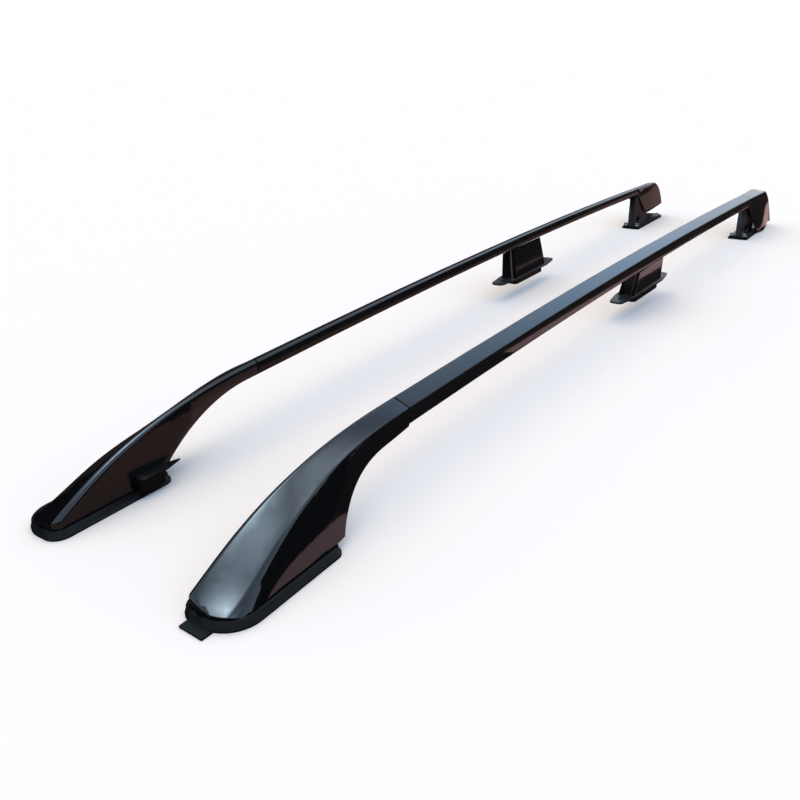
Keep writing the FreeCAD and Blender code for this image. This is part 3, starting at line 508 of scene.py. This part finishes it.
def turned(name, rings):
    """Mesh through rings of points about the upright axis, closed by a flat at both ends."""
    steps = 48
    turns = [2 * math.pi * step / steps for step in range(steps)]
    points = [
        (radius(turn) * math.cos(turn) * MM, radius(turn) * math.sin(turn) * MM, height * MM)
        for height, radius in rings
        for turn in turns
    ]
    faces = [
        (low + step, low + (step + 1) % steps, low + steps + (step + 1) % steps, low + steps + step)
        for low in range(0, steps * (len(rings) - 1), steps)
        for step in range(steps)
    ]
    last = steps * (len(rings) - 1)
    faces.append(tuple(reversed(range(steps))))
    faces.append(tuple(range(last, last + steps)))
    mesh = bpy.data.meshes.new(name)
    mesh.from_pydata(points, [], faces)
    shade(mesh)
    return mesh


def fastener_row_tree():
    """Geometry Nodes tree: a straight row of one fastener, each stopped at its own turn."""
    tree = bpy.data.node_groups.new("fastener_row", "GeometryNodeTree")
    sockets = {}
    for name, kind in (
        ("Fastener", "NodeSocketObject"),
        ("Metal", "NodeSocketMaterial"),
        ("Count", "NodeSocketInt"),
        ("First Seat", "NodeSocketVector"),
        ("Step", "NodeSocketVector"),
        ("Turn Seed", "NodeSocketInt"),
    ):
        sockets[name] = tree.interface.new_socket(name, in_out="INPUT", socket_type=kind).identifier
    tree.interface.new_socket("Row", in_out="OUTPUT", socket_type="NodeSocketGeometry")
    given = add(tree, "NodeGroupInput").outputs
    line = add(
        tree,
        "GeometryNodeMeshLine",
        {"mode": "OFFSET"},
        {"Count": given["Count"], "Start Location": given["First Seat"], "Offset": given["Step"]},
    )
    shape = add(tree, "GeometryNodeObjectInfo", None, {"Object": given["Fastener"]})
    turn = add(tree, "FunctionNodeRandomValue", {"data_type": "FLOAT_VECTOR"}, {"Seed": given["Turn Seed"]})
    turn.inputs[0].default_value = (0.0, 0.0, 0.0)
    turn.inputs[1].default_value = (0.0, 0.0, math.pi / 3)
    spin = add(tree, "FunctionNodeEulerToRotation", None, {"Euler": turn.outputs[0]})
    row = add(
        tree,
        "GeometryNodeInstanceOnPoints",
        None,
        {
            "Points": line.outputs["Mesh"],
            "Instance": shape.outputs["Geometry"],
            "Rotation": spin.outputs["Rotation"],
        },
    )
    real = add(tree, "GeometryNodeRealizeInstances", None, {"Geometry": row.outputs["Instances"]})
    coated = add(
        tree,
        "GeometryNodeSetMaterial",
        None,
        {"Geometry": real.outputs["Geometry"], "Material": given["Metal"]},
    )
    add(tree, "NodeGroupOutput", None, {"Row": coated.outputs["Geometry"]})
    return tree, sockets


FASTENER_ROW, ROW_INPUTS = fastener_row_tree()


def fastener_piece(node, metal):
    """Plain mesh with the fasteners of a CAD node, each on the axis and seat of its own solid."""
    boxes = solid_boxes(node)
    low, high = boxes[0]
    if node.endswith("bolts"):
        seat = high[2] - BOLT_HEAD_HEIGHT * MM
        rings = flange_bolt((seat - low[2]) / MM)
    else:
        seat = low[2] + SCREW_HEAD_HEIGHT * MM
        rings = cap_screw((high[2] - seat) / MM)
    seats = [Vector(((a[0] + b[0]) / 2, (a[1] + b[1]) / 2, seat)) for a, b in boxes]
    pattern = bpy.data.objects.new(node + "_pattern", turned(node + "_pattern", rings))
    carrier = bpy.data.objects.new(node + "_row", bpy.data.meshes.new(node + "_row"))
    for item in (pattern, carrier):
        scene.collection.objects.link(item)
    modifier = carrier.modifiers.new("fastener_row", "NODES")
    modifier.node_group = FASTENER_ROW
    for name, value in (
        ("Fastener", pattern),
        ("Metal", metal),
        ("Count", len(seats)),
        ("First Seat", seats[0]),
        ("Step", seats[1] - seats[0]),
        ("Turn Seed", TURN_SEED),
    ):
        modifier[ROW_INPUTS[name]] = value
    row = carrier.evaluated_get(bpy.context.evaluated_depsgraph_get())
    piece = bpy.data.objects.new(node + "_skin", bpy.data.meshes.new_from_object(row))
    carrier.modifiers.remove(modifier)
    for item in (carrier, pattern):
        bpy.data.objects.remove(item)
    scene.collection.objects.link(piece)
    return piece


for subpart in frame["record"]["subparts"]:
    node, slot = subpart["node"], subpart["material_slot"]
    if slot == "fastener_steel":
        piece = fastener_piece(node, FINISHES[slot])
    else:
        piece = smooth_piece(node, FINISHES[slot])
    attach(piece, "root")
    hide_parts(node)


# Studio, in metres

FLOOR_END = 40.0
CARD_END = 6.0
SHEET_LIFT = 0.1 * MM
FLAG_PLACE = 2.2
LEFT_FLAG_HEIGHT = 0.9
RIGHT_FLAG_HEIGHT = 1.5

# Edges between the ground sheets, across the rails and along them
BROWN_EDGE = -0.12
INNER_EDGE = 0.06
LEG_EDGE = 0.15
STRIP_EDGE = 0.222
OUTER_EDGE = 0.248
REAR_EDGE = -1.05
STRIP_FRONT = 0.3
WARM_PLAN = ((0.8, 0.19), (1.4, 0.19), (1.0, 1.5), (-0.2, 1.5))

BLACK_VELVET = "#050505"
BLACK_CLOTH = "#2E2826"
BROWN_PAPER = "#8A6E66"
WARM_PAPER = "#CBA7A5"
ROSE_PAPER = "#D0AEB0"


def studio_surround():
    """Even white surround that turns cool towards the top, the same for every ray."""
    world = bpy.data.worlds.new("studio_surround")
    scene.world = world
    world.use_nodes = True
    tree = world.node_tree
    tree.nodes.clear()
    where = add(tree, "ShaderNodeTexCoord")
    aim = add(tree, "ShaderNodeSeparateXYZ", None, {"Vector": where.outputs["Generated"]})
    sky = add(tree, "ShaderNodeValToRGB", None, {"Fac": aim.outputs["Z"]})
    # Height of the direction, as its sine, and the light that comes from there
    stops = (
        (0.0, (1.0, 1.0, 1.0)),
        (0.18, (1.0, 1.0, 1.02)),
        (0.4, (0.8, 0.95, 1.14)),
        (0.64, (0.62, 0.85, 1.16)),
        (0.8, (0.5, 0.67, 0.92)),
        (1.0, (0.62, 0.84, 1.14)),
    )
    ramp = sky.color_ramp
    while len(ramp.elements) < len(stops):
        ramp.elements.new(0.5)
    for element, (place, colour) in zip(ramp.elements, stops):
        element.position = place
        element.color = (*colour, 1.0)
    light = add(tree, "ShaderNodeBackground", {"Strength": 1.0}, {"Color": sky.outputs["Color"]})
    add(tree, "ShaderNodeOutputWorld", None, {"Surface": light.outputs["Background"]})


def stage_sheet(name, corners, material):
    """Flat sheet of the studio, which is no part of the object."""
    mesh = bpy.data.meshes.new(name)
    mesh.from_pydata(corners, [], [(0, 1, 2, 3)])
    mesh.materials.append(material)
    sheet = bpy.data.objects.new(name, mesh)
    scene.collection.objects.link(sheet)
    return sheet


def matt_card(name, hex_code, corners):
    """Sheet of plain matt paper or cloth."""
    material, tree = bare_material(name)
    matt = add(tree, "ShaderNodeBsdfDiffuse", {"Color": paint(hex_code)})
    add(tree, "ShaderNodeOutputMaterial", None, {"Surface": matt.outputs["BSDF"]})
    return stage_sheet(name, corners, material)


def level_corners(low_x, low_y, high_x, high_y, height):
    """Corners of a level rectangle."""
    plan = ((low_x, low_y), (high_x, low_y), (high_x, high_y), (low_x, high_y))
    return [(x, y, height) for x, y in plan]


def upright_corners(low_x, high_x, y, height):
    """Corners of an upright rectangle that stands on the floor along the rails."""
    return [(low_x, y, 0.0), (high_x, y, 0.0), (high_x, y, height), (low_x, y, height)]


def glow_card(name, place, aim, radius, radiance):
    """Clear sheet with a round pool of light on it, brightest in the middle."""
    material, tree = bare_material(name)
    where = add(tree, "ShaderNodeTexCoord")
    span = add(tree, "ShaderNodeMapping", {"Scale": [1 / radius] * 3}, {"Vector": where.outputs["Object"]})
    pool = add(
        tree,
        "ShaderNodeTexGradient",
        {"gradient_type": "QUADRATIC_SPHERE"},
        {"Vector": span.outputs["Vector"]},
    )
    light = add(tree, "ShaderNodeEmission", {"Color": (*radiance, 1.0)}, {"Strength": pool.outputs["Fac"]})
    clear = add(tree, "ShaderNodeBsdfTransparent")
    both = add(tree, "ShaderNodeAddShader", None, {0: light.outputs["Emission"], 1: clear.outputs["BSDF"]})
    add(tree, "ShaderNodeOutputMaterial", None, {"Surface": both.outputs["Shader"]})
    card = stage_sheet(name, level_corners(-radius, -radius, radius, radius, 0.0), material)
    card.location = place
    card.rotation_euler = (Vector(aim) - Vector(place)).to_track_quat("Z", "Y").to_euler()
    return card


def only_in_reflections(item):
    """Lets gloss surfaces mirror a card that neither shows nor lights or shades the floor."""
    item.visible_camera = False
    item.visible_diffuse = False
    item.visible_shadow = False


def key_light():
    """Broad warm light from above that evens out the cool surround, so that the floor stays white."""
    data = bpy.data.lights.new("key_light", "SUN")
    data.energy = 1.26
    data.angle = math.radians(70)
    data.color = (1.0, 0.53, 0.0)
    item = bpy.data.objects.new("key_light", data)
    item.rotation_euler = (math.radians(12), math.radians(-10), 0)
    item.visible_glossy = False
    scene.collection.objects.link(item)


def viewpoint():
    """Camera at the photograph's place, turned by its yaw, pitch and roll."""
    place = (1.4109, 0.6362, 0.4868)
    yaw, pitch, roll = 0.636, 0.422, -0.032
    focal_pixels, picture_pixels = 767.5, 800
    data = bpy.data.cameras.new("viewpoint")
    data.sensor_fit = "HORIZONTAL"
    data.sensor_width = 36.0
    data.lens = focal_pixels / picture_pixels * data.sensor_width
    data.clip_end = 100
    skyward = Vector((0, 0, 1))
    level = Vector((-math.cos(yaw), -math.sin(yaw), 0))
    ahead = level * math.cos(pitch) - skyward * math.sin(pitch)
    across = level.cross(skyward)
    upward = across.cross(ahead)
    right = across * math.cos(roll) + upward * math.sin(roll)
    up = upward * math.cos(roll) - across * math.sin(roll)
    item = bpy.data.objects.new("viewpoint", data)
    item.matrix_world = Matrix((right, up, -ahead)).transposed().to_4x4()
    item.location = place
    scene.collection.objects.link(item)
    scene.camera = item


studio_surround()
key_light()
matt_card("pale_floor", "#FBFBFB", level_corners(-FLOOR_END, -FLOOR_END, FLOOR_END, FLOOR_END, 0.0))
# Ground sheets give the walls the photograph's deep brown and black
for name, tone, low_x, low_y, high_x, high_y in (
    ("black_right_sheet", BLACK_CLOTH, -CARD_END, -FLAG_PLACE, CARD_END, BROWN_EDGE),
    ("brown_sheet", BROWN_PAPER, -CARD_END, BROWN_EDGE, CARD_END, INNER_EDGE),
    ("black_inner_sheet", BLACK_CLOTH, REAR_EDGE, INNER_EDGE, CARD_END, STRIP_EDGE),
    ("black_rear_sheet", BLACK_CLOTH, -CARD_END, INNER_EDGE, REAR_EDGE, LEG_EDGE),
    ("warm_rear_sheet", WARM_PAPER, -CARD_END, LEG_EDGE, REAR_EDGE, OUTER_EDGE),
    ("warm_strip", WARM_PAPER, REAR_EDGE, STRIP_EDGE, STRIP_FRONT, OUTER_EDGE),
    ("black_front_sheet", BLACK_CLOTH, STRIP_FRONT, STRIP_EDGE, CARD_END, OUTER_EDGE),
    ("black_outer_sheet", BLACK_CLOTH, -CARD_END, OUTER_EDGE, CARD_END, FLAG_PLACE),
):
    only_in_reflections(matt_card(name, tone, level_corners(low_x, low_y, high_x, high_y, SHEET_LIFT)))
only_in_reflections(matt_card("warm_sheet", ROSE_PAPER, [(x, y, 2 * SHEET_LIFT) for x, y in WARM_PLAN]))
# Black flags stand along both sides
for name, y, height in (
    ("black_left_flag", FLAG_PLACE, LEFT_FLAG_HEIGHT),
    ("black_right_flag", -FLAG_PLACE, RIGHT_FLAG_HEIGHT),
):
    only_in_reflections(matt_card(name, BLACK_VELVET, upright_corners(-CARD_END, CARD_END, y, height)))
# Pools of light give the crests and the nose their pale gloss
for name, place, aim, radius, radiance in (
    ("overhead_glow", (0.93, -0.4, 3.0), (0.9, 0.1, 0.0), 1.55, (8.4, 10.6, 12.6)),
    ("ridge_glow", (-0.3, 1.07, 3.05), (0.85, 0.15, 0.1), 1.5, (1.7, 2.0, 2.2)),
    ("sky_glow", (-4.6, 0.1, 2.5), (0.0, 0.14, 0.1), 3.2, (0.1, 0.4, 0.8)),
):
    only_in_reflections(glow_card(name, place, aim, radius, radiance))
viewpoint()
